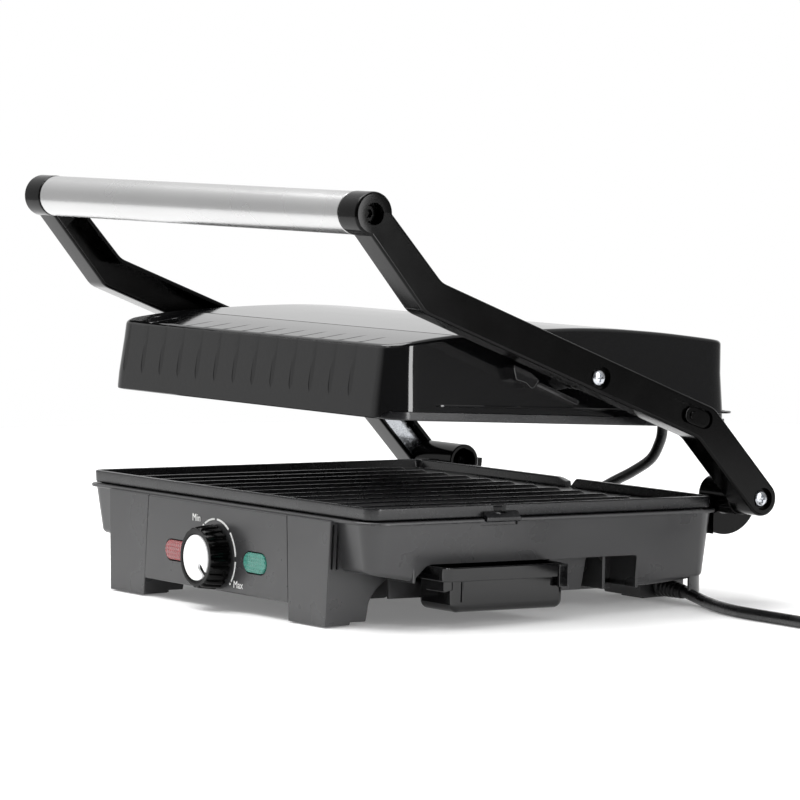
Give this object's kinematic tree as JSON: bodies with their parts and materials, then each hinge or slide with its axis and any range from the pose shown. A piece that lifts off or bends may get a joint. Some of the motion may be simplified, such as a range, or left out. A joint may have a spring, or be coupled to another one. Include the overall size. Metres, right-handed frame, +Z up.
{
  "type": "panini press",
  "caption": "Ribbed contact grill with a floating lid on two cranked arms, a tubular handle, front control knob and side drip tray.",
  "frame": {"origin": "on the table under the middle of the press, cord and plug left out", "axes": "+X to the right seen from the front, +Y to the back, +Z up"},
  "size_m": [0.5431, 0.341, 0.2535],
  "materials": {
    "gloss_black_plastic": "glossy moulded",
    "satin_black_plastic": "satin moulded",
    "non_stick_coating": "die cast with a speckled dark non-stick coating",
    "zinc_plated_steel": "zinc plated",
    "heater_steel": "drawn, heat darkened",
    "reflector_aluminium": "pressed sheet",
    "ceramic": "unglazed",
    "white_plastic": "satin moulded",
    "red_lens": "polished translucent",
    "green_lens": "polished translucent",
    "brushed_stainless_steel": "fine brushed",
    "nickel_plated_brass": "nickel plated",
    "black_rubber": "smooth PVC sheath",
    "pad_rubber": "matt"
  },
  "bodies": {
    "base": {"base_casing": "gloss_black_plastic", "bottom_cover": "satin_black_plastic", "lower_plate": "non_stick_coating", "lower_heater": "heater_steel", "lower_reflector": "reflector_aluminium", "thermostat": "ceramic", "power_lens": "red_lens", "ready_lens": "green_lens", "power_lamp": "ceramic", "ready_lamp": "ceramic", "terminal_block": "ceramic", "hinge_bracket_left": "satin_black_plastic", "hinge_bracket_right": "satin_black_plastic", "base_gland": "black_rubber", "lid_lead": "black_rubber", "front_pad_left": "pad_rubber", "front_pad_right": "pad_rubber", "rear_pad_left": "pad_rubber", "rear_pad_right": "pad_rubber", "cord_strain_relief": "black_rubber", "mains_cord": "black_rubber", "cord_coil": "black_rubber", "mains_plug": "black_rubber", "plug_pin_live": "nickel_plated_brass", "plug_pin_neutral": "nickel_plated_brass"},
    "knob": {"knob": "satin_black_plastic", "knob_disc": "white_plastic", "knob_shaft": "zinc_plated_steel"},
    "tray": {"drip_tray": "satin_black_plastic"},
    "hinge_sleeves": {"hinge_sleeve_left": "satin_black_plastic", "hinge_sleeve_right": "satin_black_plastic"},
    "arms": {"handle_tube": "brushed_stainless_steel", "arm_left": "satin_black_plastic", "arm_right": "satin_black_plastic", "arm_plate_left": "zinc_plated_steel", "arm_plate_right": "zinc_plated_steel", "handle_plug_left": "satin_black_plastic", "handle_plug_right": "satin_black_plastic", "hinge_screw_left": "zinc_plated_steel", "hinge_screw_right": "zinc_plated_steel", "pivot_screw_left": "zinc_plated_steel", "pivot_screw_right": "zinc_plated_steel", "handle_screw_left": "zinc_plated_steel", "handle_screw_right": "zinc_plated_steel"},
    "lock": {"lock_slider": "satin_black_plastic"},
    "lid": {"lid_casing": "gloss_black_plastic", "upper_plate": "non_stick_coating", "upper_heater": "heater_steel", "upper_reflector": "reflector_aluminium", "lid_gland": "black_rubber"}
  },
  "joints": [
    {"name": "lid_open", "type": "hinge", "parent": "base", "child": "hinge_sleeves", "pos_m": [0, 0.13284, 0.06408], "axis": [-1, 0, 0], "range_deg": [0, 159], "deforming": ["lid_lead"]},
    {"name": "press_swing", "type": "hinge", "parent": "hinge_sleeves", "child": "arms", "pos_m": [0, 0.13284, 0.06408], "axis": [-1, 0, 0], "range_deg": [-19.1, 0]},
    {"name": "lid_level", "type": "hinge", "parent": "arms", "child": "lid", "pos_m": [0, 0.01325, 0.14155], "axis": [-1, 0, 0], "range_deg": [-0.5, 17.5]},
    {"name": "knob_turn", "type": "hinge", "parent": "base", "child": "knob", "pos_m": [0, -0.13989, 0.03118], "axis": [0, -0.9996, 0.0279], "range_deg": [0, 168]},
    {"name": "tray_slide", "type": "slide", "parent": "base", "child": "tray", "axis": [1, 0, 0], "range_m": [0, 0.06]},
    {"name": "lock_slide", "type": "slide", "parent": "arms", "child": "lock", "axis": [0, 0.9422, -0.335], "range_m": [-0.01, 0]}
  ],
  "couplings": [
    {"joint": "lid_level", "follows": "press_swing", "ratio": -0.8796}
  ]
}
